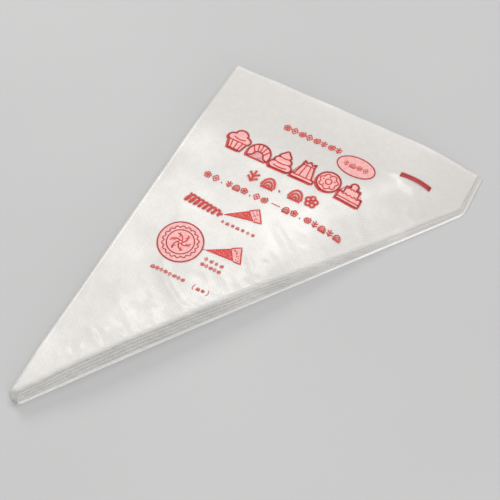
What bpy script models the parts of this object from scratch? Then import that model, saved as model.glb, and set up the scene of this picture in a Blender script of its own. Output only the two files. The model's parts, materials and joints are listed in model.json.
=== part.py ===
"""A flat pack of one hundred disposable piping bags, stacked in a film sleeve of the same shape.

Frame: metres, +Z up.  The pack lies flat.  +Y runs from the pointed tip to the open mouth, +X runs
from the folded long edge to the welded slanting edge.  The origin is the middle of the underside.
"""

import math
import random

import bmesh
import bpy
from mathutils import Vector

# Driving dimensions of the sleeve, laid flat
PACK_LENGTH = 0.320
PACK_WIDTH = 0.208
MOUTH_BOW = 0.0045
SHORT_SIDE = 0.0330
TIP_WIDTH = 0.0090
SEAM_CORNER_RADIUS = 0.042
TIP_RADIUS_FOLD = 0.0022
TIP_RADIUS_SEAM = 0.0016
MOUTH_CORNER_RADIUS = 0.0012

# Film and bag thicknesses; the embossing holds two films of one bag a little apart
SLEEVE_FILM = 0.00008
BAG_THICKNESS = 0.00014
PAIR_THICKNESS = 0.00030
AIR_GAP = 0.00002

# The pack holds one hundred bags: single ones on top, and the others nested two by two
BAG_COUNT = 100
SINGLE_BAGS = 6

# Room between the sleeve's outer edge and what lies inside it
WELD_WIDTH = 0.0022
WALL_LEAN = 0.0018
WALL_GAP = 0.0004
FOLD_CLEARANCE = 0.0014
TIP_CLEARANCE = 0.0036
SEAM_CLEARANCE = 0.0012
MOUTH_SETBACK = 0.0030

# The stack is a little untidy: it leans towards the seam and the tip, and each bag is off by a hair
LEAN_TO_SEAM = 0.0014
LEAN_TO_TIP = 0.0006
SCATTER = 0.00035
SCATTER_SEED = 7

# Facets in each rounded corner and in the bowed mouth edge
SEAM_CORNER_STEPS = 7
TIP_STEPS_FOLD = 5
TIP_STEPS_SEAM = 3
MOUTH_CORNER_STEPS = 2
MOUTH_SEGMENTS = 8

WELD_THICKNESS = 0.00006
WELD_EDGE_MARGIN = 0.0002


def clear_scene():
    for thing in list(bpy.data.objects):
        bpy.data.objects.remove(thing, do_unlink=True)


def film_material(name, colour, roughness):
    """Milky polyethylene film: no metal, softly glossy."""
    material = bpy.data.materials.new(name)
    material.use_nodes = True
    shader = material.node_tree.nodes["Principled BSDF"]
    shader.inputs["Base Color"].default_value = (*colour, 1.0)
    shader.inputs["Roughness"].default_value = roughness
    shader.inputs["Metallic"].default_value = 0.0
    material.diffuse_color = (*colour, 1.0)
    return material


def seam_line():
    """A point on the slanting edge of the sleeve, and the edge's direction and inward normal."""
    start = Vector((-PACK_WIDTH / 2 + TIP_WIDTH, -PACK_LENGTH / 2))
    end = Vector((PACK_WIDTH / 2, PACK_LENGTH / 2 - MOUTH_BOW - SHORT_SIDE))
    along = (end - start).normalized()
    inward = Vector((-along.y, along.x))
    return start, along, inward


def seam_corners(seam_inset, tip_inset):
    """Where the slanting edge, moved in by the inset, meets the tip edge and the short side."""
    start, along, inward = seam_line()
    start = start + inward * seam_inset
    tip_y = -PACK_LENGTH / 2 + tip_inset
    side_x = PACK_WIDTH / 2 - seam_inset
    at_tip = start + along * ((tip_y - start.y) / along.y)
    at_side = start + along * ((side_x - start.x) / along.x)
    return at_tip, at_side


def fillet(before, corner, after, radius, steps):
    """Points of the arc that rounds a convex corner of a flat outline."""
    to_before = (before - corner).normalized()
    to_after = (after - corner).normalized()
    half_angle = to_before.angle(to_after) / 2
    centre = corner + (to_before + to_after).normalized() * (radius / math.sin(half_angle))
    reach = radius / math.tan(half_angle)
    first = corner + to_before * reach - centre
    sweep = math.pi - 2 * half_angle
    points = []
    for step in range(steps + 1):
        angle = math.atan2(first.y, first.x) + sweep * step / steps
        points.append(centre + Vector((math.cos(angle), math.sin(angle))) * radius)
    return points


def mouth_edge(left, right, base_y):
    """Inner points of the mouth edge, a shallow arc that bows outwards, from right to left."""
    middle = (left + right) / 2
    half = (right - left) / 2
    points = []
    for step in range(1, MOUTH_SEGMENTS):
        across = 1 - 2 * step / MOUTH_SEGMENTS
        points.append(Vector((middle + half * across, base_y + MOUTH_BOW * (1 - across * across))))
    return points


def seam_side_points(seam_inset, tip_inset, mouth_inset):
    """The seam's path from the tip's outer corner, round the blunt corner, up to the mouth."""
    at_tip, at_side = seam_corners(seam_inset, tip_inset)
    mouth_right = Vector((PACK_WIDTH / 2 - seam_inset, PACK_LENGTH / 2 - MOUTH_BOW - mouth_inset))
    radius = SEAM_CORNER_RADIUS - seam_inset
    corner = fillet(at_tip, at_side, mouth_right, radius, SEAM_CORNER_STEPS)
    return at_tip, corner, mouth_right


def bag_outline(fold_inset, tip_inset, seam_inset, mouth_inset):
    """The outline shared by the sleeve and the bags, moved in on each side, counter-clockwise."""
    left = -PACK_WIDTH / 2 + fold_inset
    tip_left = Vector((left, -PACK_LENGTH / 2 + tip_inset))
    mouth_left = Vector((left, PACK_LENGTH / 2 - MOUTH_BOW - mouth_inset))
    tip_right, blunt_corner, mouth_right = seam_side_points(seam_inset, tip_inset, mouth_inset)
    points = fillet(mouth_left, tip_left, tip_right, TIP_RADIUS_FOLD, TIP_STEPS_FOLD)
    points += fillet(tip_left, tip_right, blunt_corner[0], TIP_RADIUS_SEAM, TIP_STEPS_SEAM)
    points += blunt_corner
    edge = mouth_edge(left, mouth_right.x, mouth_left.y)
    points += fillet(blunt_corner[-1], mouth_right, edge[0], MOUTH_CORNER_RADIUS, MOUTH_CORNER_STEPS)
    points += edge
    points += fillet(edge[-1], mouth_left, tip_left, MOUTH_CORNER_RADIUS, MOUTH_CORNER_STEPS)
    return points


def new_object(name, mesh, material, collection):
    mesh.materials.append(material)
    thing = bpy.data.objects.new(name, mesh)
    collection.objects.link(thing)
    return thing


def solidify(thing, thickness, offset):
    shell = thing.modifiers.new("Film thickness", "SOLIDIFY")
    shell.thickness = thickness
    shell.offset = offset
    shell.use_even_offset = True
    return shell


def flat_film(name, outline, base_z, thickness, material, collection):
    """A flat sheet: the outline filled with one face and thickened upwards."""
    mesh = bpy.data.meshes.new(name)
    sheet = bmesh.new()
    sheet.faces.new([sheet.verts.new((p.x, p.y, 0.0)) for p in outline])
    sheet.to_mesh(mesh)
    sheet.free()
    thing = new_object(name, mesh, material, collection)
    thing.location = (0.0, 0.0, base_z)
    solidify(thing, thickness, 1.0)
    return thing


def wall_film(name, low_path, high_path, low_z, high_z, material, collection):
    """A wall: a strip of quads between a lower and an upper path, thickened towards the inside."""
    mesh = bpy.data.meshes.new(name)
    strip = bmesh.new()
    low = [strip.verts.new((p.x, p.y, low_z)) for p in low_path]
    high = [strip.verts.new((p.x, p.y, high_z)) for p in high_path]
    for k in range(len(low) - 1):
        strip.faces.new((low[k], low[k + 1], high[k + 1], high[k]))
    strip.to_mesh(mesh)
    strip.free()
    thing = new_object(name, mesh, material, collection)
    solidify(thing, SLEEVE_FILM, -1.0)
    return thing


def stack_levels():
    """Each bag node from the top down: its name and its thickness."""
    levels = []
    for number in range(1, SINGLE_BAGS + 1):
        levels.append((f"bag_{number:03d}", BAG_THICKNESS))
    for number in range(SINGLE_BAGS + 1, BAG_COUNT, 2):
        levels.append((f"bag_pair_{number:03d}_{number + 1:03d}", PAIR_THICKNESS))
    return levels


def build_bags(base_z, material, collection):
    """Stacks the bags from the lowest pair up and returns the height of the stack's top."""
    scatter = random.Random(SCATTER_SEED)
    levels = stack_levels()
    inset = WELD_WIDTH + WALL_LEAN + SEAM_CLEARANCE
    outline = bag_outline(FOLD_CLEARANCE, TIP_CLEARANCE, inset, MOUTH_SETBACK)
    height = base_z
    for index, (name, thickness) in enumerate(reversed(levels)):
        depth = 1 - index / (len(levels) - 1)
        bag = flat_film(name, outline, height, thickness, material, collection)
        bag.location.x = LEAN_TO_SEAM * depth + scatter.uniform(-SCATTER, SCATTER)
        bag.location.y = -LEAN_TO_TIP * depth + scatter.uniform(-SCATTER, SCATTER)
        height += thickness + AIR_GAP
    return height


def build_walls(low_z, high_z, material, collection):
    """The four stretches of film that close the sleeve's sides, everywhere but at the mouth."""
    low_inset = WELD_WIDTH
    high_inset = WELD_WIDTH + WALL_LEAN
    left = -PACK_WIDTH / 2
    mouth_y = PACK_LENGTH / 2 - MOUTH_BOW
    tip_y = -PACK_LENGTH / 2

    low_tip, low_corner, low_mouth = seam_side_points(low_inset, 0.0, 0.0)
    high_tip, high_corner, high_mouth = seam_side_points(high_inset, 0.0, 0.0)
    slope = seam_line()[1]
    clear_of_tip = slope * (TIP_RADIUS_SEAM + WALL_GAP)
    clear_of_corner = slope * WALL_GAP

    low_path = [low_tip + clear_of_tip, low_corner[0] - clear_of_corner]
    high_path = [high_tip + clear_of_tip, high_corner[0] - clear_of_corner]
    wall_film("sleeve_seam_side", low_path, high_path, low_z, high_z, material, collection)

    wall_film("sleeve_mouth_corner", low_corner + [low_mouth], high_corner + [high_mouth],
              low_z, high_z, material, collection)

    fold_path = [Vector((left, mouth_y)), Vector((left, tip_y + TIP_RADIUS_FOLD + WALL_GAP))]
    wall_film("sleeve_fold_edge", fold_path, fold_path, low_z, high_z, material, collection)

    tip_left = Vector((left, tip_y))
    fold_above = Vector((left, mouth_y))
    ends = []
    for tip, corner in ((low_tip, low_corner), (high_tip, high_corner)):
        end = fillet(fold_above, tip_left, tip, TIP_RADIUS_FOLD, TIP_STEPS_FOLD)
        end += fillet(tip_left, tip, corner[0], TIP_RADIUS_SEAM, TIP_STEPS_SEAM)
        ends.append(end)
    wall_film("sleeve_tip_end", ends[0], ends[1], low_z, high_z, material, collection)


def build_weld(base_z, material, collection):
    """The heat-sealed strip that lies flat outside the wall, from the tip to the mouth."""
    outer_tip, outer_corner, outer_mouth = seam_side_points(WELD_EDGE_MARGIN, 0.0, 0.0)
    inner_inset = WELD_WIDTH - WALL_GAP
    inner_tip, inner_corner, inner_mouth = seam_side_points(inner_inset, 0.0, 0.0)
    clear_of_tip = seam_line()[1] * TIP_RADIUS_SEAM
    outline = [outer_tip + clear_of_tip] + outer_corner + [outer_mouth]
    outline += [inner_mouth] + list(reversed(inner_corner)) + [inner_tip + clear_of_tip]
    flat_film("sleeve_weld_seam", outline, base_z, WELD_THICKNESS, material, collection)


def main():
    clear_scene()
    pack = bpy.data.collections.new("piping_bag_pack")
    bpy.context.scene.collection.children.link(pack)

    sleeve_film = film_material("sleeve_film", (0.80, 0.79, 0.78), 0.30)
    bag_film = film_material("bag_film", (0.72, 0.71, 0.70), 0.38)
    weld_film = film_material("weld_film", (0.86, 0.86, 0.86), 0.25)

    flat_film("sleeve_back_panel", bag_outline(0.0, 0.0, 0.0, 0.0), 0.0, SLEEVE_FILM,
              sleeve_film, pack)
    inside_z = SLEEVE_FILM + AIR_GAP
    top_z = build_bags(inside_z, bag_film, pack)
    build_walls(inside_z, top_z - AIR_GAP, sleeve_film, pack)
    build_weld(inside_z, weld_film, pack)
    front = bag_outline(0.0, 0.0, WELD_WIDTH + WALL_LEAN, 0.0)
    flat_film("sleeve_front_panel", front, top_z, SLEEVE_FILM, sleeve_film, pack)


main()
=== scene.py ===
"""A flat pack of piping bags in a printed film sleeve: film meshes, print, light and camera."""
import json
import math
import random

import bmesh
import bpy
import numpy as np
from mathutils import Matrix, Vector
from mathutils.bvhtree import BVHTree


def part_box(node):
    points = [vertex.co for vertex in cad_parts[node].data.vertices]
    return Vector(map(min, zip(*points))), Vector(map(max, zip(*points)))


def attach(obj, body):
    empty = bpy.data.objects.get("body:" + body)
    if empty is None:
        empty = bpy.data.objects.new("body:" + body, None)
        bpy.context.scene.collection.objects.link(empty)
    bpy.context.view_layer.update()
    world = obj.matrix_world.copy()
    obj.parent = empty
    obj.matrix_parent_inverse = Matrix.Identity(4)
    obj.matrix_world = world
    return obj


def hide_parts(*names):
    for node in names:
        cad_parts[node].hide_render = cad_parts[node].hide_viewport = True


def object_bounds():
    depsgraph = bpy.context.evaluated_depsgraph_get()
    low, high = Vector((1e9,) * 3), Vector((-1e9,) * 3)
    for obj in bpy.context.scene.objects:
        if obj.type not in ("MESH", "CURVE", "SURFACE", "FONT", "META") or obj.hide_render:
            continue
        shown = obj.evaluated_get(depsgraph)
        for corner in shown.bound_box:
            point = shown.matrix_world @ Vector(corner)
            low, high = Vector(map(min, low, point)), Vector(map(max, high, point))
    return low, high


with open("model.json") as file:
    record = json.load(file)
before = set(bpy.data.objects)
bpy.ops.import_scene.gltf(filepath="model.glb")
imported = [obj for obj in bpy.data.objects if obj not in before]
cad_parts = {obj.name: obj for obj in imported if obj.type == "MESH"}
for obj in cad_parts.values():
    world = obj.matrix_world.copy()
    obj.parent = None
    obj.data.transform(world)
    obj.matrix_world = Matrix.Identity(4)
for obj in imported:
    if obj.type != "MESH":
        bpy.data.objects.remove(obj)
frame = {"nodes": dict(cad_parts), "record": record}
cad_low, cad_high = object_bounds()

MM = 0.001

# The sleeve's outline: corners as in the CAD model, bows and slants set to the photo
HALF_WIDTH = cad_high.x
TIP_Y = cad_low.y
CAD_MOUTH_Y = cad_high.y - 4.5 * MM
MOUTH_Y = cad_high.y - 2.4 * MM
MOUTH_BOW, MOUTH_TILT = 0.2 * MM, 2.4 * MM
SHORT_SIDE = 33 * MM
TIP_WIDTH = 9 * MM
SLANT_END_Y = CAD_MOUTH_Y - SHORT_SIDE
SEAM_ANGLE = math.atan2(2 * HALF_WIDTH - TIP_WIDTH, SLANT_END_Y - TIP_Y)
CORNER_SOFTNESS = 1.0 * MM
SIDE_TURN = 1.1 * MM
SEAM_BOW = 1.6 * MM
WELD_WIDTH = 1.7 * MM

STACK_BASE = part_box("sleeve_back_panel")[1].z
STACK_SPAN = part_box("sleeve_front_panel")[0].z - STACK_BASE
SLEEVE_FILM = 0.08 * MM

# How the stack thins: along the welded edge towards the mouth, at the mouth, and at the tip
THIN_FROM_Y, THIN_TO_Y = -60 * MM, 112 * MM
WALL_SHARE_LEAST = 0.14
SLOPE_REACH_LEAST, SLOPE_REACH_MOST = 7 * MM, 56 * MM
SLOPE_POWER = 1.9
MOUTH_FALL, MOUTH_REACH = 0.34, 70 * MM
TIP_SHARE, TIP_REACH = 0.76, 42 * MM
FOLD_MIDDLE = 0.45
FOLD_REACH, FOLD_REACH_LOW = 4.6 * MM, 3.0 * MM

# The side wall: it leans in over the bags' edges, which push it out in ledges
WALL_FOOT = WELD_WIDTH + 0.25 * MM
WALL_LEAN = 1.9 * MM
LEDGES = 3.6
LEDGE_DEPTH = 0.75 * MM
SHOULDER_RADIUS = 2.9 * MM


# ---------------------------------------------------------------- shape of the pack

def ramp(value, start, end):
    """0 before start and 1 after end, eased between them."""
    share = np.clip((value - start) / (end - start), 0.0, 1.0)
    return share * share * (3 - 2 * share)


def seam_x(y, inset=0.0):
    """Where the welded edge, moved in by the inset, runs at each y."""
    share = np.clip((y - TIP_Y) / (SLANT_END_Y - TIP_Y), 0, 1)
    moved = (inset + SEAM_BOW * np.sin(math.pi * share)) / math.cos(SEAM_ANGLE)
    slanted = -HALF_WIDTH + TIP_WIDTH + (y - TIP_Y) * math.tan(SEAM_ANGLE) - moved
    side = np.clip((y - SLANT_END_Y) / (MOUTH_Y - SLANT_END_Y), -0.5, 1)
    straight = HALF_WIDTH - inset + SIDE_TURN * (1 - 2 * side)
    return 0.5 * (slanted + straight - np.sqrt((slanted - straight) ** 2 + 4 * CORNER_SOFTNESS ** 2))


def seam_stretch(y):
    """How much longer a distance square to the welded edge is when it is measured along X."""
    step = 0.5 * MM
    slope = (seam_x(y + step) - seam_x(y - step)) / (2 * step)
    return np.sqrt(1 + slope ** 2)


def mouth_shift(u, v):
    """How far the mouth's edge is bowed and slanted: u runs from fold to weld, v from tip to mouth."""
    return (MOUTH_BOW * (1 - (2 * u - 1) ** 2) + MOUTH_TILT * u * u) * v ** 6


def from_seam(x, y):
    return (seam_x(y) - x) / seam_stretch(y)


def stack_height(x, y):
    """The height of the stack, before its folded side is rounded."""
    thinned = ramp(y, THIN_FROM_Y, THIN_TO_Y)
    share = 1 - (1 - WALL_SHARE_LEAST) * thinned
    reach = SLOPE_REACH_LEAST + (SLOPE_REACH_MOST - SLOPE_REACH_LEAST) * thinned
    inward = np.clip((from_seam(x, y) - WALL_FOOT - WALL_LEAN) / reach, 0, 1)
    slope = share + (1 - share) * (1 - (1 - inward) ** SLOPE_POWER)
    tip = TIP_SHARE + (1 - TIP_SHARE) * ramp(y, TIP_Y, TIP_Y + TIP_REACH)
    mouth = 1 - MOUTH_FALL * ramp(y, MOUTH_Y - MOUTH_REACH, MOUTH_Y)
    return STACK_SPAN * slope * tip * mouth


def fold_share(x, reach):
    """The quarter ellipse that rounds the stack down to its folded edge."""
    near = np.clip((x + HALF_WIDTH) / reach, 0.0, 1.0)
    return np.sqrt(1 - (1 - near) ** 2)


def slow_relief_waves():
    draw = random.Random(5)
    waves = []
    for _ in range(7):
        length, angle = draw.uniform(45, 130) * MM, draw.uniform(0, math.pi)
        waves.append((math.cos(angle) / length, math.sin(angle) / length, draw.uniform(0, 2 * math.pi),
                      draw.uniform(0.05, 0.13) * MM))
    return waves


WAVES = slow_relief_waves()


def slow_relief(x, y):
    """Long, low waves that the whole upper stack shares."""
    height = np.zeros_like(x)
    for along_x, along_y, phase, tall in WAVES:
        height = height + tall * np.sin(2 * math.pi * (x * along_x + y * along_y) + phase)
    return height * ramp(x, -HALF_WIDTH, -HALF_WIDTH + 16 * MM)


# Creases of the top film: start, end, height and half width, in millimetres
CREASES = (
    (-4, 40, 33, 14, 1.00, 3.4),
    (-58, -32, -29, -51, 0.85, 2.3),
    (-64, -20, -50, -38, 0.45, 3.0),
    (36, 82, 60, 58, 0.75, 3.2),
    (26, 60, 50, 40, 0.50, 2.8),
    (-85, -89, -64, -104, 0.75, 2.4),
    (-78, -62, -52, -80, 0.50, 3.2),
    (66, 106, 88, 90, 0.50, 2.8),
    (-92, -118, -78, -128, 0.55, 2.2),
    (-80, 40, -66, 4, 0.28, 5.0),
    (-90, 92, -58, 124, 0.20, 6.0),
    (12, 134, 52, 112, 0.18, 6.0),
)
PULLS = 54
CRUMPLES = ((17 * MM, 0.55 * MM, 150), (7.5 * MM, 0.24 * MM, 620))


def weld_pulls():
    """Short creases that start at the weld and run inwards, with seeded places and sizes."""
    draw = random.Random(11)
    pulls = []
    for _ in range(PULLS):
        y = draw.uniform(-142, 108)
        x = float(seam_x(np.array(y * MM))) / MM - draw.uniform(5, 16)
        length, angle = draw.uniform(7, 24), math.pi - SEAM_ANGLE + draw.uniform(-0.45, 0.45)
        pulls.append((x, y, x + length * math.cos(angle), y + length * math.sin(angle),
                      draw.uniform(0.10, 0.40), draw.uniform(1.4, 2.8)))
    return pulls


ALL_CREASES = CREASES + tuple(weld_pulls())


def crumple(x, y, size, count, seed):
    """Facets of crumpled film: 0 in each facet's middle, rising to sharp ridges between them."""
    draw = np.random.default_rng(seed)
    places = draw.uniform((-HALF_WIDTH, TIP_Y), (HALF_WIDTH, -TIP_Y), (count, 2))
    stretch = draw.uniform(0.6, 1.5, count)
    nearest = np.full(x.shape, np.inf)
    for (place_x, place_y), wide in zip(places, stretch):
        right, up = x - place_x, y - place_y
        along, aside = right * 0.8 + up * 0.4, (up * 0.9 - right * 0.3) * wide
        nearest = np.minimum(nearest, along ** 2 + aside ** 2)
    return np.clip(np.sqrt(nearest) / size, 0, 1.3) ** 1.4


def fine_relief(x, y):
    """Creases and crumples of the film, from 0 up: strongest along the weld and at the tip."""
    height = np.zeros_like(x)
    for x0, y0, x1, y1, tall, wide in ALL_CREASES:
        along_x, along_y = (x1 - x0) * MM, (y1 - y0) * MM
        length = math.hypot(along_x, along_y)
        share = ((x - x0 * MM) * along_x + (y - y0 * MM) * along_y) / length ** 2
        aside = ((x - x0 * MM) * along_y - (y - y0 * MM) * along_x) / length
        taper = ramp(share, -0.25, 0.3) * ramp(1 - share, -0.25, 0.3)
        height = height + tall * MM * taper * np.exp(-(aside / (wide * MM)) ** 2)
    inward = from_seam(x, y) - WALL_FOOT
    near_seam = np.exp(-np.clip(inward, 0, 1) / (26 * MM))
    near_tip = 1 - ramp(y, -110 * MM, -20 * MM)
    loose = 0.16 + 0.75 * near_seam + 0.45 * near_tip
    calm = 1 - 0.6 * ramp(y, 80 * MM, 130 * MM)
    for seed, (size, tall, count) in enumerate(CRUMPLES):
        height = height + tall * loose * calm * crumple(x, y, size, count, 40 + seed)
    run = y / math.cos(SEAM_ANGLE)
    pucker = 0.5 + 0.5 * np.sin(run * 620 + 2.2 * np.sin(run * 130) + inward * 90)
    height = height + 0.34 * MM * pucker ** 2 * np.exp(-np.clip(inward, 0, 1) / (11 * MM))
    return height * ramp(x, -HALF_WIDTH, -HALF_WIDTH + 9 * MM)


# How the mouths of the top bags stand open: between bags, and between one bag's two films
MOUTH_GAPE_REACH = 34 * MM
SINGLES = sum(1 for n in frame["nodes"] if n.startswith("bag_") and not n.startswith("bag_pair"))
BAG_GAPE = 0.20 * MM
INNER_GAPE = 0.13 * MM


def mouth_gape(x, y):
    """0 to 1: how far the mouths of the top bags stand open."""
    across = np.clip((x + HALF_WIDTH) / (2 * HALF_WIDTH), 0, 1)
    ripple = 0.72 + 0.28 * np.sin(x * 62 + 0.8)
    return ramp(y, MOUTH_Y - MOUTH_GAPE_REACH, MOUTH_Y + 6 * MM) * np.sin(math.pi * across) * ripple


def layer_z(x, y, level, fine=0.0):
    """The height of a surface in the stack: level is 0 at the base and 1 at the top."""
    height = stack_height(x, y)
    middle = FOLD_MIDDLE * height
    upper = middle + (height - middle) * (2 * level - 1) * fold_share(x, FOLD_REACH)
    lower = middle * (1 - (1 - 2 * level) * fold_share(x, FOLD_REACH_LOW))
    z = STACK_BASE + np.where(level > 0.5, upper, lower) + level ** 3 * slow_relief(x, y)
    return z + fine * level ** 6 * fine_relief(x, y) if fine else z


def sleeve_z(x, y):
    """The outer height of the sleeve's top film."""
    inward = np.minimum(from_seam(x, y) - WALL_FOOT, x + HALF_WIDTH)
    gap = (0.20 + 0.35 * ramp(inward, 8 * MM, 40 * MM)) * MM + SLEEVE_FILM
    return layer_z(x, y, 1.0) + fine_relief(x, y) + gap + SINGLES * BAG_GAPE * mouth_gape(x, y)


def wall_inset(share, y):
    """How far in from the weld's outer edge the side wall stands, at each share of its height."""
    drift = 0.30 * np.sin(y * 19 + 0.4) + 0.16 * np.sin(y * 47 + 2.0) + 0.05 * np.sin(y * 160)
    ledges = np.abs(np.sin(math.pi * (LEDGES * share + drift + 0.15))) ** 0.6
    held = ramp(share, 0.0, 0.07)
    return WALL_FOOT + WALL_LEAN * share + LEDGE_DEPTH * (1 - ledges) * held


def wall_tops(y):
    """The shoulder's radius, its x and its height on each row."""
    stretch, edge = seam_stretch(y), seam_x(y)
    inset = wall_inset(1.0, y)
    guess = sleeve_z(edge - (inset + SHOULDER_RADIUS) * stretch, y)
    radius = np.minimum(SHOULDER_RADIUS, 0.55 * guess)
    shoulder_x = edge - (inset + radius) * stretch
    return radius, shoulder_x, sleeve_z(shoulder_x, y)


# ---------------------------------------------------------------- mesh helpers

def mesh_object(name, verts, faces, materials, face_slots=None):
    mesh = bpy.data.meshes.new(name)
    mesh.from_pydata(np.asarray(verts).tolist(), [], [list(map(int, face)) for face in faces])
    for material in materials:
        mesh.materials.append(material)
    if face_slots is not None:
        mesh.polygons.foreach_set("material_index", [int(slot) for slot in face_slots])
    mesh.shade_smooth()
    thing = bpy.data.objects.new(name, mesh)
    bpy.context.scene.collection.objects.link(thing)
    return thing


def grid_faces(rows, columns, start=0):
    """Quads of a grid of points that is stored row by row."""
    first = start + np.arange(rows - 1)[:, None] * columns + np.arange(columns - 1)[None, :]
    first = first.ravel()
    return np.stack([first, first + 1, first + columns + 1, first + columns], axis=1)


def strip(one, two):
    """Quads between two lines of point numbers."""
    one, two = np.asarray(one), np.asarray(two)
    return np.stack([one[:-1], two[:-1], two[1:], one[1:]], axis=1)


def solidify(thing, thickness, offset):
    shell = thing.modifiers.new("Film", "SOLIDIFY")
    shell.thickness = thickness
    shell.offset = offset
    graph = bpy.context.evaluated_depsgraph_get()
    mesh = bpy.data.meshes.new_from_object(thing.evaluated_get(graph))
    thing.modifiers.clear()
    thing.data = mesh


# ---------------------------------------------------------------- materials

class Nodes:
    """A short way to write a material's node tree."""

    def __init__(self, name):
        self.material = bpy.data.materials.new(name)
        self.material.use_nodes = True
        self.tree = self.material.node_tree
        self.shader = self.tree.nodes["Principled BSDF"]

    def put(self, kind, **values):
        node = self.tree.nodes.new(kind)
        for key, value in values.items():
            setattr(node, key, value)
        return node

    def link(self, start, end):
        self.tree.links.new(start, end)

    def set(self, **values):
        for key, value in values.items():
            self.shader.inputs[key.replace("_", " ")].default_value = value

    def math(self, operation, a, b=0.0):
        node = self.put("ShaderNodeMath", operation=operation)
        for socket, value in zip(node.inputs, (a, b)):
            if isinstance(value, (int, float)):
                socket.default_value = value
            else:
                self.link(value, socket)
        return node.outputs[0]

    def place(self):
        """Object coordinates, in metres."""
        return self.put("ShaderNodeTexCoord").outputs["Object"]

    def axes(self):
        split = self.put("ShaderNodeSeparateXYZ")
        self.link(self.place(), split.inputs[0])
        return split.outputs

    def noise(self, scale, detail=2.0, roughness=0.5, distortion=0.0):
        node = self.put("ShaderNodeTexNoise")
        values = {"Scale": scale, "Detail": detail, "Roughness": roughness, "Distortion": distortion}
        for key, value in values.items():
            node.inputs[key].default_value = value
        self.link(self.place(), node.inputs["Vector"])
        return node.outputs["Fac"]

    def spread(self, value, low, high, to_low=0.0, to_high=1.0):
        node = self.put("ShaderNodeMapRange", interpolation_type="SMOOTHSTEP")
        limits = {"From Min": low, "From Max": high, "To Min": to_low, "To Max": to_high}
        for key, limit in limits.items():
            node.inputs[key].default_value = limit
        self.link(value, node.inputs["Value"])
        return node.outputs["Result"]

    def mix(self, factor, first, second):
        node = self.put("ShaderNodeMix", data_type="RGBA")
        self.link(factor, node.inputs["Factor"])
        for socket, value in ((node.inputs[6], first), (node.inputs[7], second)):
            if isinstance(value, tuple):
                socket.default_value = (*value, 1.0)
            else:
                self.link(value, socket)
        return node.outputs[2]

    def bump(self, height, distance, strength=1.0, base=None):
        node = self.put("ShaderNodeBump")
        node.inputs["Distance"].default_value = distance
        node.inputs["Strength"].default_value = strength
        self.link(height, node.inputs["Height"])
        if base is not None:
            self.link(base, node.inputs["Normal"])
        return node.outputs["Normal"]

    def dots(self, pitch):
        """Staggered embossed dots, from 0 between them to 1 on top."""
        x, y, _ = self.axes()
        turn = math.pi / pitch
        one = self.math("SINE", self.math("MULTIPLY", self.math("ADD", x, y), turn))
        two = self.math("SINE", self.math("MULTIPLY", self.math("SUBTRACT", x, y), turn))
        return self.spread(self.math("ABSOLUTE", self.math("MULTIPLY", one, two)), 0.10, 0.60)


# Where along Y the dots fade out before the smooth band, and the weld turns grey
SMOOTH_BAND = (92 * MM, 118 * MM)
SHORT_SIDE_BAND = (121 * MM, 130 * MM)
# The share of the film's colour kept between the embossed dots: painted shade in the hollows, so that the
# dots read as tiny highlights
DOT_HOLLOW_PAINTED_SHADE = 0.92
DOT_PITCH, WELD_DOT_PITCH = 2.7 * MM, 0.9 * MM
FILM_IOR = 1.51


def film_material(name, grey, dark, light, opacity, dot_height, roughness, coat):
    """Milky film: cloudy, softly glossy, embossed with dots except in the smooth band, whose grey is
    partly clearer film and partly painted shade.
    """
    n = Nodes(name)
    # The smooth band near the mouth takes the grey colour: partly its clearer unembossed film, partly
    # painted shade for the dimmer mouth end
    drift = n.math("MULTIPLY", n.noise(22.0), 16 * MM)
    band = n.spread(n.math("ADD", n.axes()[1], drift), *SMOOTH_BAND)
    cloud = n.spread(n.noise(24.0, 4.0, 0.55), 0.32, 0.70)
    body = n.mix(cloud, dark, light)
    dots = n.dots(DOT_PITCH)
    raised = n.math("MULTIPLY", dots, n.math("SUBTRACT", 1.0, band))
    # Painted shade: the film's colour is darker between the embossed dots than on them
    hollow_painted_shade = n.mix(cloud, tuple(DOT_HOLLOW_PAINTED_SHADE * c for c in dark), tuple(DOT_HOLLOW_PAINTED_SHADE * c for c in light))
    n.link(n.mix(band, n.mix(raised, hollow_painted_shade, body), grey), n.shader.inputs["Base Color"])
    sheen = n.spread(n.noise(140.0, 3.0, 0.6), 0.3, 0.7, roughness - 0.05, roughness + 0.09)
    n.link(sheen, n.shader.inputs["Roughness"])
    rumple = n.bump(n.noise(230.0, 4.0, 0.6, 0.5), 0.16 * MM, 0.5)
    n.link(n.bump(raised, dot_height, 1.0, rumple), n.shader.inputs["Normal"])
    n.set(IOR=FILM_IOR, Alpha=opacity, Coat_Weight=coat, Coat_Roughness=0.14)
    return n.material


def weld_material(name, colour, grey, opacity):
    """The heat-sealed strip: clearer, glossier and finely dotted, and grey on the short side."""
    n = Nodes(name)
    cloud = n.spread(n.noise(90.0), 0.3, 0.7)
    body = n.mix(cloud, colour, tuple(min(1.0, 1.06 * c) for c in colour))
    short_side = n.spread(n.axes()[1], *SHORT_SIDE_BAND)
    n.link(n.mix(short_side, body, grey), n.shader.inputs["Base Color"])
    n.link(n.bump(n.dots(WELD_DOT_PITCH), 0.05 * MM), n.shader.inputs["Normal"])
    n.set(Roughness=0.2, IOR=FILM_IOR, Alpha=opacity, Coat_Weight=0.4, Coat_Roughness=0.1)
    return n.material


def ink_material(name, dark, light):
    """Ink printed on film: slightly uneven, with tiny pinholes of a lighter colour."""
    n = Nodes(name)
    pinholes = n.spread(n.noise(420.0, 3.0, 0.7), 0.38, 0.68)
    n.link(n.mix(pinholes, dark, light), n.shader.inputs["Base Color"])
    n.link(n.spread(n.noise(300.0), 0.3, 0.7, 0.34, 0.48), n.shader.inputs["Roughness"])
    n.link(n.bump(n.noise(900.0), 0.02 * MM, 0.4), n.shader.inputs["Normal"])
    return n.material


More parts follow.
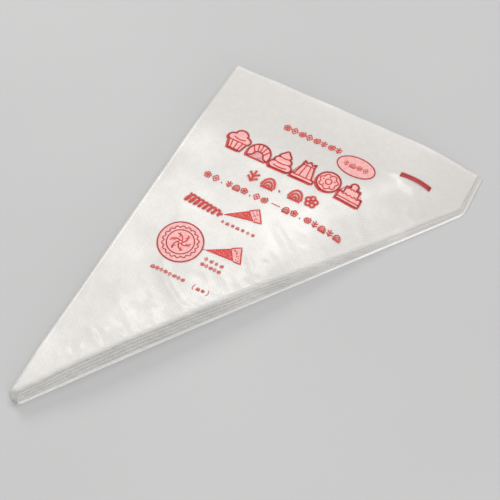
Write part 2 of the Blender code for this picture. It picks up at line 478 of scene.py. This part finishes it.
SLEEVE_SKIN = film_material("sleeve_film_milky", (0.80, 0.775, 0.75), (0.86, 0.84, 0.815),
                            (0.98, 0.96, 0.935), 0.42, 0.11 * MM, 0.24, 0.35)
SLEEVE_WELD = weld_material("sleeve_weld_clear", (0.86, 0.86, 0.86), (0.66, 0.655, 0.65), 0.72)
BAG_SKIN = film_material("bag_film_milky", (0.80, 0.775, 0.755), (0.86, 0.845, 0.82),
                         (0.96, 0.945, 0.92), 0.55, 0.12 * MM, 0.32, 0.15)
BAG_WELD = weld_material("bag_weld_clear", (0.80, 0.805, 0.81), (0.72, 0.72, 0.72), 0.65)
# Painted shade: the nested pairs' film is darker than a single bag's, for the shade between the stacked
# bag edges seen through the side wall
STACK_SKIN_PAINTED_SHADE = film_material("stack_film_milky_painted_shade", (0.72, 0.70, 0.68), (0.75, 0.74, 0.72),
                           (0.85, 0.84, 0.82), 1.0, 0.09 * MM, 0.36, 0.10)
RED_INK = ink_material("red_ink", (0.46, 0.012, 0.010), (0.60, 0.040, 0.028))
DARK_INK = ink_material("red_ink_dark", (0.28, 0.008, 0.008), (0.36, 0.018, 0.016))
PALE_INK = ink_material("pale_red_ink", (0.66, 0.31, 0.30), (0.74, 0.40, 0.39))


def bleed_material():
    """The faint pink that the ink lends to the milky film round it."""
    n = Nodes("ink_bleed")
    patches = n.spread(n.noise(500.0), 0.3, 0.7)
    n.link(n.mix(patches, (0.93, 0.42, 0.38), (0.95, 0.55, 0.50)), n.shader.inputs["Base Color"])
    n.set(Roughness=0.45, Alpha=0.34)
    return n.material


BLEED = bleed_material()


# ---------------------------------------------------------------- bags

EDGE_GAP = 0.35 * MM
BAG_TIP_RADIUS = 2.4 * MM
BAG_WELD_WIDTH = 2.4 * MM
# How much smaller a bag's inner film is than its outer one, at the fold, the tip and the weld
INNER_MARGINS = (0.3 * MM, 1.5 * MM, BAG_WELD_WIDTH)
NO_MARGINS = (0.0, 0.0, 0.0)
# The share of a single bag's layer left clear above it, and as much below it
BAG_CLEARANCE = 0.16
# The share of the sleeve's creases that the top bags take over
BAG_CREASES = 0.25
SEEDS_FROM = 100


def clustered(count, pull):
    """Numbers from 0 to 1, closer together towards both ends."""
    even = np.linspace(0.0, 1.0, count)
    return (1 - pull) * even + pull * (0.5 - 0.5 * np.cos(math.pi * even))


def stack_edge(level, y):
    """How far in from the weld's outer edge the sleeve leaves room for a bag at this level."""
    radius, _, top = wall_tops(y)
    wall_share = (top - radius) / top
    above = np.clip((level - wall_share) * top, 0, 0.98 * radius)
    return wall_inset(np.clip(level / wall_share, 0, 1), y) + radius - np.sqrt(radius ** 2 - above ** 2)


def stack_levels(low, high):
    """A CAD box's bottom and top as levels in the stack."""
    return (low.z - STACK_BASE) / STACK_SPAN, (high.z - STACK_BASE) / STACK_SPAN


def bag_surface(low, high, level, draw, rows, columns, margins=NO_MARGINS):
    """x and y of a bag's grid points; margins are the insets at the fold, the tip and the weld."""
    fold, tip, weld = margins
    v = clustered(rows, 0.35)[:, None]
    u = clustered(columns, 0.5)[None, :]
    near, far = low.y + tip, high.y - cad_high.y + MOUTH_Y
    base_y = near + v * (far - near)
    phase, rate, size = draw.uniform(0, 6), draw.uniform(25, 60), draw.uniform(0.10, 0.30) * MM
    wobble = size * np.sin(base_y * rate + phase)
    inset = stack_edge(level, base_y) + EDGE_GAP + abs(draw.gauss(0, 0.30)) * MM + size + weld
    right = seam_x(base_y) - inset * seam_stretch(base_y) + wobble
    left = np.full_like(base_y, low.x + fold) + 0.4 * wobble
    nose = np.clip((base_y - near) / BAG_TIP_RADIUS, 0, 1)
    pinch = BAG_TIP_RADIUS * (1 - np.sqrt(1 - (1 - nose) ** 2)) * 0.5
    left = left + pinch
    right = np.maximum(right - pinch, left + 0.5 * MM)
    x = left + u * (right - left)
    size, rate, phase = draw.uniform(0.1, 0.35) * MM, draw.uniform(30, 70), draw.uniform(0, 6)
    ragged = size * np.sin(x * rate + phase) * v ** 12
    return x, base_y + mouth_shift(u, v) + ragged


def points(x, y, z):
    return np.stack([x, y, z], axis=-1).reshape(-1, 3)


def rims(rows, columns, start):
    """The point numbers along a grid's mouth, and round its other three sides."""
    mouth = start + (rows - 1) * columns + np.arange(columns)
    down = start + np.arange(rows - 1, -1, -1) * columns
    along = start + np.arange(1, columns)
    up = start + np.arange(1, rows) * columns + columns - 1
    return mouth, np.concatenate([down, along, up])


def weld_slots(verts, faces, level, weld_width):
    """1 for the faces of the welded strip, 0 for the rest."""
    inward = from_seam(verts[:, 0], verts[:, 1]) - stack_edge(level, verts[:, 1]) - EDGE_GAP
    return (inward[faces].max(axis=1) < weld_width).astype(int)


def build_single(node, index):
    """One bag as two films, joined at the fold, the tip and the weld, and open at the mouth."""
    low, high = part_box(node)
    level_low, level_high = stack_levels(low, high)
    clear = BAG_CLEARANCE * (level_high - level_low)
    level_low, level_high = level_low + clear, level_high - clear
    third = (level_high - level_low) / 3
    rows, columns = 100, 62
    state = random.Random(SEEDS_FROM + index).getstate()
    grids = []
    lift = (SINGLES - 1 - index) * BAG_GAPE
    for level, margins, gape in ((level_high, NO_MARGINS, lift + INNER_GAPE),
                                 (level_high - third, INNER_MARGINS, lift + INNER_GAPE),
                                 (level_low + third, INNER_MARGINS, lift),
                                 (level_low, NO_MARGINS, lift)):
        draw = random.Random()
        draw.setstate(state)
        x, y = bag_surface(low, high, level_high, draw, rows, columns, margins)
        grids.append(points(x, y, layer_z(x, y, level, BAG_CREASES) + gape * mouth_gape(x, y)))
    count = rows * columns
    faces = [grid_faces(rows, columns), grid_faces(rows, columns, count)[:, ::-1],
             grid_faces(rows, columns, 2 * count), grid_faces(rows, columns, 3 * count)[:, ::-1]]
    edges = [rims(rows, columns, k * count) for k in range(4)]
    faces.append(strip(edges[0][1], edges[3][1]))
    faces.append(strip(edges[2][1], edges[1][1]))
    faces.append(strip(edges[1][0], edges[0][0]))
    faces.append(strip(edges[3][0], edges[2][0]))
    verts, faces = np.concatenate(grids), np.concatenate(faces)
    slots = weld_slots(verts, faces, level_high, BAG_WELD_WIDTH)
    return mesh_object(node.replace("bag_", "film_bag_"), verts, faces, (BAG_SKIN, BAG_WELD), slots)


def build_pair(node, index):
    """Two nested bags as one closed layer, which thins at its edges so that the layers show."""
    low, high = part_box(node)
    level_low, level_high = stack_levels(low, high)
    draw = random.Random(SEEDS_FROM + index)
    rows, columns = 60, 28
    x, y = bag_surface(low, high, level_high, draw, rows, columns)
    edge = np.minimum(MOUTH_Y - y, from_seam(x, y) - stack_edge(level_high, y))
    level_mid = level_low + (level_high - level_low) * (0.5 + 0.42 * ramp(edge, 0, 9 * MM))
    top = points(x, y, layer_z(x, y, level_mid))
    bottom = points(x, y, layer_z(x, y, level_low))
    count = rows * columns
    (mouth, sides), (mouth_low, sides_low) = rims(rows, columns, 0), rims(rows, columns, count)
    faces = np.concatenate([grid_faces(rows, columns), grid_faces(rows, columns, count)[:, ::-1],
                            strip(sides, sides_low), strip(mouth_low, mouth)])
    verts = np.concatenate([top, bottom])
    return mesh_object(node.replace("bag_", "film_bag_"), verts, faces, (STACK_SKIN_PAINTED_SHADE,))


def build_bags():
    """Every bag node of the CAD model gets its film, and rides on that node's body."""
    body_of = {n: b for b, names in frame["record"]["behaviour"]["bodies"].items() for n in names}
    bags = sorted(n for n in frame["nodes"] if n.startswith("bag_"))
    for index, node in enumerate(bags):
        pair = node.startswith("bag_pair")
        bag = build_pair(node, index) if pair else build_single(node, index)
        bag.data.set_sharp_from_angle(angle=math.radians(50))
        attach(bag, body_of[node])
        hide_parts(node)


# ---------------------------------------------------------------- sleeve

SLEEVE_ROWS, LIP_ROWS = 205, 7
LIP_LENGTH = 6 * MM
TOP_COLUMNS = 118
NOSE_REACH = 3.2 * MM


def sleeve_rows():
    """y of each cross-section, and how far up each one reaches at the rounded tip."""
    nose = np.linspace(0, math.pi / 2, 9)[:-1]
    main = np.linspace(TIP_Y + NOSE_REACH, MOUTH_Y - LIP_LENGTH, SLEEVE_ROWS)
    lip = np.linspace(MOUTH_Y - LIP_LENGTH, MOUTH_Y, LIP_ROWS)[1:]
    y = np.concatenate([TIP_Y + NOSE_REACH * (1 - np.cos(nose)), main, lip])
    return y[:, None], np.concatenate([np.sin(nose), np.ones(len(main) + len(lip))])[:, None]


def lip_droop(x, from_mouth):
    """The loose lip of the top film past the bags sags and ripples a little."""
    ripple = 0.45 + 0.30 * np.sin(x * 74 + 0.6) + 0.25 * np.sin(x * 151 + 2.0)
    return (1 - ramp(from_mouth, 0, 2.8 * MM)) * 0.9 * MM * ripple


def sleeve_sections(y, lift):
    """Outer x and z of every cross-section: weld, side wall, shoulder, top, fold and underside."""
    stretch = seam_stretch(y)
    narrow = np.minimum(1.0, (y - TIP_Y) / (2.5 * MM))
    pinch = 2.2 * MM * (1 - np.sqrt(1 - (1 - narrow) ** 2))
    edge, left = seam_x(y) - 0.6 * pinch, -HALF_WIDTH + pinch
    radius, shoulder_x, shoulder_z = wall_tops(y)
    fold_x = left + FOLD_REACH
    shoulder_x = np.maximum(shoulder_x, fold_x + 0.3 * MM)
    wall_top = shoulder_z - radius
    film = 2 * SLEEVE_FILM
    one = np.ones_like(y)
    ripple = 0.25 * MM * (0.5 + 0.5 * np.sin(y * 140) * np.sin(y * 57 + 1))
    xs = [edge, edge - 0.5 * WELD_WIDTH * stretch, edge - WELD_WIDTH * stretch]
    zs = [film + ripple, film + 0.5 * ripple, film * one]
    wall = np.linspace(0, 1, 25)[None, 1:]
    xs.append(edge - wall_inset(wall, y) * stretch)
    zs.append(film + (wall_top - film) * wall)
    turn = np.linspace(0, math.pi / 2, 7)[None, 1:-1]
    wall_x = edge - wall_inset(1.0, y) * stretch
    xs.append(shoulder_x + (wall_x - shoulder_x) * np.cos(turn))
    zs.append(wall_top + radius * np.sin(turn))
    across = np.linspace(0, 1, TOP_COLUMNS)[None, :]
    top_x = shoulder_x + (fold_x - shoulder_x) * across
    xs.append(top_x)
    zs.append(sleeve_z(top_x, y) - lip_droop(top_x, MOUTH_Y - y))
    turn = np.linspace(0, math.pi / 2, 11)[None, 1:]
    fold_top = sleeve_z(fold_x, y) - lip_droop(fold_x, MOUTH_Y - y)
    middle = FOLD_MIDDLE * fold_top
    xs.append(left + FOLD_REACH * (1 - np.sin(turn)))
    zs.append(middle + (fold_top - middle) * np.cos(turn))
    xs.append(left + FOLD_REACH_LOW * (1 - np.cos(turn)))
    zs.append(middle * (1 - np.sin(turn)))
    under = np.linspace(0, 1, 13)[None, 1:]
    low_x = left + FOLD_REACH_LOW
    weld_x = edge - WELD_WIDTH * stretch
    xs.append(low_x + (np.maximum(weld_x, low_x + 0.1 * MM) - low_x) * under)
    zs.append(np.zeros_like(xs[-1]))
    xs.append(edge)
    zs.append(0 * one)
    x, z = np.concatenate(xs, axis=1), np.concatenate(zs, axis=1)
    return x, np.where(z > film, np.maximum(z * lift, np.minimum(z, film)), z)


def build_sleeve():
    """The whole sleeve as one folded film that is open only at the mouth."""
    y, lift = sleeve_rows()
    x, z = sleeve_sections(y, lift)
    rows, columns = x.shape
    left, right = -HALF_WIDTH, seam_x(y)
    u = np.clip((x - left) / np.maximum(right - left, MM), 0, 1)
    v = (y - TIP_Y) / (MOUTH_Y - TIP_Y)
    verts = points(x, y + mouth_shift(u, v), z)
    faces = grid_faces(rows, columns)[:, ::-1]
    column = np.tile(np.arange(columns - 1), rows - 1)
    slots = ((column < 2) | (column >= columns - 2)).astype(int)
    sleeve = mesh_object("film_sleeve", verts, faces, (SLEEVE_SKIN, SLEEVE_WELD), slots)
    outer = BVHTree.FromPolygons(verts.tolist(), faces.tolist())
    solidify(sleeve, SLEEVE_FILM, -1.0)
    sleeve.data.shade_smooth()
    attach(sleeve, "sleeve")
    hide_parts(*frame["record"]["behaviour"]["bodies"]["sleeve"])
    return outer


# ---------------------------------------------------------------- print

RED, DARK, PALE, BLEED_SLOT = 0, 1, 2, 3
INK_THICKNESS = 0.02 * MM
INK_HEIGHT = 0.08 * MM
# In millimetres: marks take turns at slightly different heights, so that two that cross
# don't share a plane, and lines and filled shapes are cut up this finely
MARK_TURNS, MARK_LIFT = 5, 0.004
INK_STEP = 1.3
FILL_GRID = 1.4
# The bleed's width, in millimetres and against a thin line's own, and its layer under the ink
BLEED_WIDTH, BLEED_SHARE, BLEED_LAYER = 1.5, 1.1, -0.6


def arc(centre, radius, start, end, count=16):
    """Points on an arc; the radius may be a pair, and the angles are in degrees."""
    radius_x, radius_y = radius if isinstance(radius, tuple) else (radius, radius)
    turns = np.radians(np.linspace(start, end, count))
    return [(centre[0] + radius_x * math.cos(t), centre[1] + radius_y * math.sin(t)) for t in turns]


def ring(centre, radius, count=28):
    return arc(centre, radius, 0, 360, count + 1)[:-1]


def resampled(line, closed, step=INK_STEP):
    line = list(line) + [line[0]] if closed else list(line)
    dense = []
    for a, b in zip(line, line[1:]):
        parts = max(1, math.ceil(math.dist(a, b) / step))
        dense += [(a[0] + (b[0] - a[0]) * k / parts, a[1] + (b[1] - a[1]) * k / parts)
                  for k in range(parts)]
    return dense if closed else dense + [line[-1]]


class Ink:
    """Collects printed shapes in the pack's plan, in millimetres, and lays them on the sleeve."""

    def __init__(self):
        self.verts, self.faces, self.slots, self.marks = [], [], [], 0

    def add(self, verts, faces, slot, layer):
        start = len(self.verts)
        height = INK_HEIGHT * (1 + layer) + (self.marks % MARK_TURNS) * MARK_LIFT * MM
        self.marks += 1
        self.verts += [(x, y, height) for x, y in verts]
        self.faces += [[start + k for k in face] for face in faces]
        self.slots += [slot] * len(faces)

    def stroke(self, line, width, slot=RED, closed=False, layer=0):
        """A line of ink, with a faint wider bleed under it."""
        bleed = min(BLEED_WIDTH, BLEED_SHARE * width)
        self.ribbon(line, width + bleed, BLEED_SLOT, closed, BLEED_LAYER)
        self.ribbon(line, width, slot, closed, layer)

    def ribbon(self, line, width, slot, closed, layer):
        line = np.array(resampled(line, closed))
        if closed:
            ahead, behind = np.roll(line, -1, axis=0), np.roll(line, 1, axis=0)
        else:
            ahead, behind = np.vstack([line[1:], line[-1:]]), np.vstack([line[:1], line[:-1]])
        along = ahead - behind
        along /= np.maximum(np.linalg.norm(along, axis=1, keepdims=True), 1e-9)
        aside = np.stack([-along[:, 1], along[:, 0]], axis=1) * width / 2
        count = len(line)
        ends = range(count if closed else count - 1)
        faces = [(k, count + k, count + (k + 1) % count, (k + 1) % count) for k in ends]
        self.add(np.vstack([line + aside, line - aside]).tolist(), faces, slot, layer)

    def fill(self, outline, slot=RED, layer=0):
        """A filled shape, cut along a grid so that it can follow the sleeve's relief."""
        shape = bmesh.new()
        shape.faces.new([shape.verts.new((x, y, 0)) for x, y in outline])
        bmesh.ops.triangulate(shape, faces=shape.faces[:])
        for axis in (0, 1):
            values = [vert.co[axis] for vert in shape.verts]
            cut = math.floor(min(values) / FILL_GRID + 1) * FILL_GRID
            while cut < max(values):
                place, normal = Vector((0, 0, 0)), Vector((0, 0, 0))
                place[axis], normal[axis] = cut, 1
                bmesh.ops.bisect_plane(shape, geom=shape.verts[:] + shape.edges[:] + shape.faces[:],
                                       plane_co=place, plane_no=normal)
                cut += FILL_GRID
        shape.normal_update()
        shape.verts.index_update()
        faces = [[v.index for v in (face.verts if face.normal.z > 0 else reversed(face.verts))]
                 for face in shape.faces]
        self.add([(v.co.x, v.co.y) for v in shape.verts], faces, slot, layer)
        shape.free()

    def lay(self, name, surface):
        """Drops every point on to the sleeve and gives the ink its thickness."""
        verts = []
        for x, y, height in self.verts:
            hit = surface.ray_cast(Vector((x * MM, y * MM, 0.1)), Vector((0, 0, -1)))
            verts.append((x * MM, y * MM, hit[0].z + height))
        piece = mesh_object(name, verts, self.faces, (RED_INK, DARK_INK, PALE_INK, BLEED), self.slots)
        solidify(piece, INK_THICKNESS, -1.0)
        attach(piece, "sleeve")


def moved(line, x, y, scale=1.0):
    return [(x + px * scale, y + py * scale) for px, py in line]


def mirrored(line):
    return [(-x, y) for x, y in reversed(line)]


def cupcake():
    right = [(4.4, -9), (6.4, -1.4)] + arc((4.4, 1.4), 3.6, -40, 95, 9) + arc((0, 5.6), 4.2, 5, 88, 7)
    lines = [[(-6.2, -1.4), (6.2, -1.4)]] + [[(x * 0.75, -8.7), (x, -1.6)] for x in (-3.6, 0, 3.6)]
    return right + mirrored(right), lines + [arc((0, 3), (4.4, 2.0), 200, 340, 8)]


def swirl():
    right = [(6.6, -9)] + arc((4.2, -5.8), 3.5, -60, 62, 8) + arc((2.8, -0.4), 3.0, -45, 65, 7)
    right += arc((1.3, 4.2), 2.5, -45, 62, 6) + [(0.5, 9.3)]
    lines = [arc((0, -0.6), (6.4, 2.6), 205, 335, 9), arc((0, 4.3), (4.6, 2.2), 205, 335, 8),
             arc((0, -5.2), (5.2, 1.8), 205, 335, 8)]
    return right + mirrored(right), lines


def nozzle():
    right = [(6.8, -9), (6.8, -6.2), (5.4, -6.2), (3.4, 5.2), (3.4, 9.0), (1.7, 6.6), (0.1, 9.2)]
    lines = [[(-5.4, -6.2), (5.4, -6.2)], [(-3.4, 5.2), (3.4, 5.2)],
             [(-1.3, 5.0), (-2.2, -6.0)], [(1.3, 5.0), (2.2, -6.0)]]
    return right + mirrored(right), lines


def cake():
    right = [(8.0, -9), (8.0, -1.8), (5.0, -1.8), (5.0, 4.0)] + arc((0, 6.3), 2.5, -50, 88, 9)
    drips = [[(x, -1.8 - 1.3 * abs(math.sin(x * 0.95))) for x in np.linspace(-8, 8, 34)],
             [(x, 3.8 - 1.2 * abs(math.sin(x * 1.15))) for x in np.linspace(-5, 5, 24)]]
    return right + mirrored(right), drips + [[(-8, -6.6), (8, -6.6)]]


def croissant():
    outline = arc((0, -4.0), (9.0, 9.6), -25, 205, 26) + arc((0, -7.2), (4.6, 5.6), 170, 10, 12)
    lines = [[(math.cos(t) * 4.6, -7.0 + math.sin(t) * 6.2), (math.cos(t) * 8.4, -4.0 + math.sin(t) * 9.0)]
             for t in np.radians((38, 66, 90, 114, 142))]
    return outline, lines


def doughnut():
    icing = [(math.cos(t) * (6.4 + 0.7 * math.sin(7 * t)), math.sin(t) * (6.6 + 0.7 * math.sin(7 * t)))
             for t in np.linspace(0, 2 * math.pi, 57)]
    crumbs = [moved([(-0.5, -0.3), (0.5, 0.3)], 4.4 * math.cos(t), 4.6 * math.sin(t))
              for t in (0.4, 1.7, 2.9, 4.1, 5.3)]
    return ring((0, 0), (8.6, 9.2), 40), [icing, ring((0, 0), (2.3, 2.5), 16) + [(2.3, 0)]] + crumbs


def print_title(surface):
    """Six outlined bakery pictures with a heavier lower left side."""
    ink = Ink()
    for k, shape in enumerate((cupcake, croissant, swirl, nozzle, doughnut, cake)):
        outline, lines = shape()
        x, y = -65.4 + 18.7 * k, 93.9 - 0.25 * k
        wide = 17.6 / (max(px for px, _ in outline) - min(px for px, _ in outline))
        outline = [(px * wide, py * 0.95) for px, py in outline]
        ink.fill(moved(outline, x - 1.2, y - 1.4, 1.03), RED, layer=0)
        ink.fill(moved(outline, x, y), PALE, layer=1)
        ink.stroke(moved(outline, x, y), 1.2, DARK, closed=True, layer=2)
        for line in lines:
            ink.stroke(moved([(px * wide, py * 0.95) for px, py in line], x, y), 0.95, RED, layer=2)
    ink.lay("print_title", surface)


def ornament(ink, kind, x, y, size, layer=0):
    """One small printed ornament, half a size round its middle."""
    thin = 0.12 * size
    if kind == 0:
        for k in range(5):
            t = math.radians(90 + 72 * k)
            petal = (x + 0.27 * size * math.cos(t), y + 0.27 * size * math.sin(t))
            ink.stroke(ring(petal, 0.17 * size, 9), thin, closed=True, layer=layer)
    elif kind == 1:
        ink.stroke([(x, y - 0.5 * size), (x, y + 0.5 * size)], thin, layer=layer)
        for height in (-0.38, -0.02):
            ink.stroke([(x - 0.38 * size, y + (height + 0.30) * size), (x, y + height * size),
                        (x + 0.38 * size, y + (height + 0.30) * size)], thin, layer=layer)
    elif kind == 2:
        diamond = [(x, y + 0.5 * size), (x + 0.42 * size, y), (x, y - 0.5 * size), (x - 0.42 * size, y)]
        ink.stroke(diamond, thin, closed=True, layer=layer)
        ink.fill(ring((x, y), 0.17 * size, 8), layer=layer)
    elif kind == 3:
        for reach in (0.22, 0.50, 0.78):
            arch = arc((x, y - 0.42 * size), (reach * 0.62 * size, reach * size), 5, 175, 10)
            ink.stroke(arch, thin, layer=layer)
        foot = [(x - 0.48 * size, y - 0.45 * size), (x + 0.48 * size, y - 0.45 * size)]
        ink.stroke(foot, thin, layer=layer)
    else:
        turns = np.linspace(0, 4.4 * math.pi, 30)
        spiral = [(x + 0.036 * size * t * math.cos(t), y + 0.036 * size * t * math.sin(t)) for t in turns]
        ink.stroke(spiral, thin, layer=layer)


def ornament_row(ink, x0, x1, y, size, count, first=0):
    pitch = (x1 - x0) / count
    for k in range(count):
        ornament(ink, (first + 2 * k + k // 3) % 5, x0 + pitch * (k + 0.5), y, size)


def tick(ink, x, y, size):
    ink.stroke([(x, y + 0.5 * size), (x + 0.6 * size, y - 0.5 * size)], 0.5 * size)


def print_lines(surface):
    """Rows of small ornaments where a real sleeve has its lines of text."""
    ink = Ink()
    ornament_row(ink, -43, 5.5, 122.4, 5.9, 8)
    for x0, x1, first in ((-47.5, -21, 1), (-11.5, 12.5, 3)):
        ornament_row(ink, x0, x1, 71.5, 10.6, 2, first)
    tick(ink, -18.5, 68.5, 1.8)
    rows = ((-73.8, -60.4, 2), (-55.8, -37.2, 3), (-33.2, -21, 2), (-9.2, 3.6, 2), (8, 38.5, 5))
    for k, (x0, x1, count) in enumerate(rows):
        ornament_row(ink, x0, x1, 56.7, 5.7, count, k)
    for x in (-58.6, -35.3, 5.4):
        tick(ink, x, 55.1, 1.2)
    ink.stroke([(-18, 56.9), (-11, 56.9)], 0.5)
    ornament_row(ink, -43.2, -14.4, 26.4, 2.7, 7, 1)
    for y, count, first in ((-6.6, 4, 2), (-11.5, 5, 0)):
        ornament_row(ink, -37.8, -21.4, y, 3.1, count, first)
    ornament_row(ink, -67.6, -40.2, -29.3, 3.1, 8, 3)
    ornament_row(ink, -30.6, -23.2, -30.4, 2.9, 2, 3)
    ink.stroke(arc((-30.5, -30.4), (2.4, 3.0), 130, 230, 7), 0.4)
    ink.stroke(arc((-23.3, -30.4), (2.4, 3.0), -50, 50, 7), 0.4)
    ink.lay("print_lines", surface)


def print_stamp(surface):
    """A round stamp: two rings, a scalloped ring between them and a piped rosette in the middle."""
    ink = Ink()
    x, y, radius = -58.8, -3.1, 16.4
    ink.fill(ring((x, y), radius, 48), PALE, layer=0)
    ink.stroke(ring((x, y), radius, 60), 0.85, DARK, closed=True, layer=1)
    ink.stroke(ring((x, y), 0.61 * radius, 44), 0.8, DARK, closed=True, layer=1)
    scallops = [(x + math.cos(t) * radius * (0.71 + 0.10 * abs(math.sin(9 * t))),
                 y + math.sin(t) * radius * (0.71 + 0.10 * abs(math.sin(9 * t))))
                for t in np.linspace(0, 2 * math.pi, 145)[:-1]]
    ink.stroke(scallops, 0.75, DARK, closed=True, layer=1)
    for k in range(6):
        turn = math.radians(60 * k)
        petal = [(r * math.cos(turn + 0.16 * r), r * math.sin(turn + 0.17 * r))
                 for r in np.linspace(1.2, 7.6, 9)]
        ink.stroke(moved(petal, x, y), 1.0, RED, layer=1)
        back = [(r * math.cos(turn + 1.35 - 0.05 * r), r * math.sin(turn + 1.35 - 0.05 * r))
                for r in np.linspace(4, 7.6, 6)]
        ink.stroke(moved(back, x, y), 0.6, RED, layer=1)
    ink.stroke(ring((x, y), 1.3, 12), 0.7, RED, closed=True, layer=1)
    ink.lay("print_stamp", surface)


def print_oval(surface):
    ink = Ink()
    ink.fill(ring((20.4, 115.2), (14.7, 8.8), 40), PALE, layer=0)
    ink.stroke(ring((20.4, 115.2), (14.7, 8.8), 44), 0.8, DARK, closed=True, layer=1)
    for k in range(4):
        ornament(ink, (k * 2 + 1) % 5, 12.6 + 5.2 * k, 115.2, 4.8, layer=1)
    ink.lay("print_oval", surface)


def print_dash(surface):
    """The printer's position mark: a short thick bar, slightly bowed."""
    ink = Ink()
    bar = [(x, 127.6 - 1.1 * ((x - 63.2) / 12.2) ** 2) for x in np.linspace(51, 75.4, 12)]
    half = 1.9
    ink.ribbon(bar, 2 * half + BLEED_WIDTH, BLEED_SLOT, False, BLEED_LAYER)
    outline = [(x, y - half) for x, y in bar] + [(x, y + half) for x, y in reversed(bar)]
    ink.fill(outline, DARK, layer=1)
    ink.lay("print_dash", surface)


def between(a, b, share):
    return (a[0] + (b[0] - a[0]) * share, a[1] + (b[1] - a[1]) * share)


def bag_picture(ink, tip, one, two, seed):
    """A filled piping bag seen from the side: dotted at its tip, pale and speckled at its end."""
    split = 0.73
    one_in, two_in = between(tip, one, split), between(tip, two, split * 1.1)
    ink.fill([tip, two_in, one_in], RED, layer=0)
    ink.fill([two_in, two, one, one_in], PALE, layer=0)
    ink.stroke([one_in, one, two, two_in], 0.8, RED, layer=1)
    draw = random.Random(seed)
    for k in range(9):
        along, aside = 0.30 + 0.055 * k, 0.3 + 0.2 * (k % 3)
        place = between(between(tip, one, along), between(tip, two, along), aside)
        ink.fill(ring(place, 0.38, 7), PALE, layer=1)
    for _ in range(16):
        along, aside = draw.uniform(split + 0.08, 0.95), draw.uniform(0.12, 0.88)
        place = between(between(tip, one, along), between(tip, two, along), aside)
        ink.fill(ring(place, 0.42, 6), RED, layer=1)


def print_bag_marks(surface):
    """Two small pictures of a filled piping bag, and the looped line that the first has piped."""
    ink = Ink()
    bag_picture(ink, (-44.1, 31.8), (-22.8, 47.6), (-16.2, 37.9), 1)
    bag_picture(ink, (-40.8, -0.5), (-18.3, 13.4), (-12.9, 1.4), 2)
    ink.stroke([(-43.0, -1.2), (-40.8, -0.5)], 0.6)
    loops = []
    for t in np.linspace(0, 1, 150):
        swing = 15 * math.pi * t
        tall = 3.4 - 1.2 * t
        loops.append((-74.4 + 27.6 * t + 1.9 * math.sin(swing + 0.6) * (1 - 0.4 * t),
                      33.2 - 2.2 * t + tall * math.cos(swing)))
    ink.stroke(loops + [(-45.6, 31.1), (-44.1, 31.8)], 1.45)
    ink.lay("print_bag_marks", surface)


build_bags()
sleeve_top = build_sleeve()
for draw_print in (print_title, print_lines, print_stamp, print_oval, print_dash, print_bag_marks):
    draw_print(sleeve_top)


# ---------------------------------------------------------------- floor, light and camera

def build_floor():
    n = Nodes("floor_pale")
    patches = n.spread(n.noise(3.0), 0.2, 0.8)
    n.link(n.mix(patches, (0.43, 0.432, 0.435), (0.455, 0.457, 0.46)), n.shader.inputs["Base Color"])
    n.set(Roughness=0.75)
    corners = [(x, y, -0.05 * MM) for x, y in ((-3, -3), (3, -3), (3, 3), (-3, 3))]
    mesh_object("floor", corners, [(0, 1, 2, 3)], (n.material,))


def area_light(name, place, target, size, power, colour=(1.0, 1.0, 1.0)):
    data = bpy.data.lights.new(name, "AREA")
    data.shape = "RECTANGLE"
    data.size, data.size_y = size
    data.energy = power
    data.color = colour
    lamp = bpy.data.objects.new(name, data)
    bpy.context.scene.collection.objects.link(lamp)
    lamp.location = place
    lamp.rotation_euler = (Vector(target) - Vector(place)).to_track_quat("-Z", "Y").to_euler()


def build_light():
    area_light("key_back_left", (-1.35, 0.80, 1.05), (0, 0.02, 0), (0.6, 0.6), 12.5, (1.0, 0.99, 0.97))
    area_light("gloss_back", (-0.46, 0.80, 1.55), (0, 0.02, 0), (0.26, 0.30), 2.2, (1.0, 0.99, 0.98))
    area_light("gloss_seam", (-0.05, 0.80, 1.60), (0, 0.02, 0), (0.55, 0.40), 6, (1.0, 0.99, 0.98))
    area_light("top_soft", (0.45, -0.55, 1.75), (0, 0, 0), (1.1, 1.1), 16, (1.0, 0.99, 0.98))
    area_light("side_fill", (1.5, -1.0, 0.75), (0, 0, 0), (1.2, 0.8), 6.0)
    world = bpy.data.worlds.new("studio")
    world.use_nodes = True
    world.node_tree.nodes["Background"].inputs[0].default_value = (1.0, 1.0, 1.0, 1.0)
    world.node_tree.nodes["Background"].inputs[1].default_value = 0.46
    bpy.context.scene.world = world
    bpy.context.scene.view_settings.view_transform = "Standard"


def build_camera():
    """A long lens that looks down on the pack from beyond its tip and to the right."""
    azimuth, elevation = math.radians(28.94), math.radians(58.62)
    target, distance = Vector((-0.01747, 0.0240, 0.0)), 1.2917
    back = Vector((math.sin(azimuth) * math.cos(elevation), -math.cos(azimuth) * math.cos(elevation),
                   math.sin(elevation)))
    data = bpy.data.cameras.new("camera")
    data.sensor_width = 36
    data.lens = 129.6
    camera = bpy.data.objects.new("camera", data)
    bpy.context.scene.collection.objects.link(camera)
    camera.rotation_euler = (-back).to_track_quat("-Z", "Y").to_euler()
    camera.location = target + back * distance
    bpy.context.scene.camera = camera


build_floor()
build_light()
build_camera()
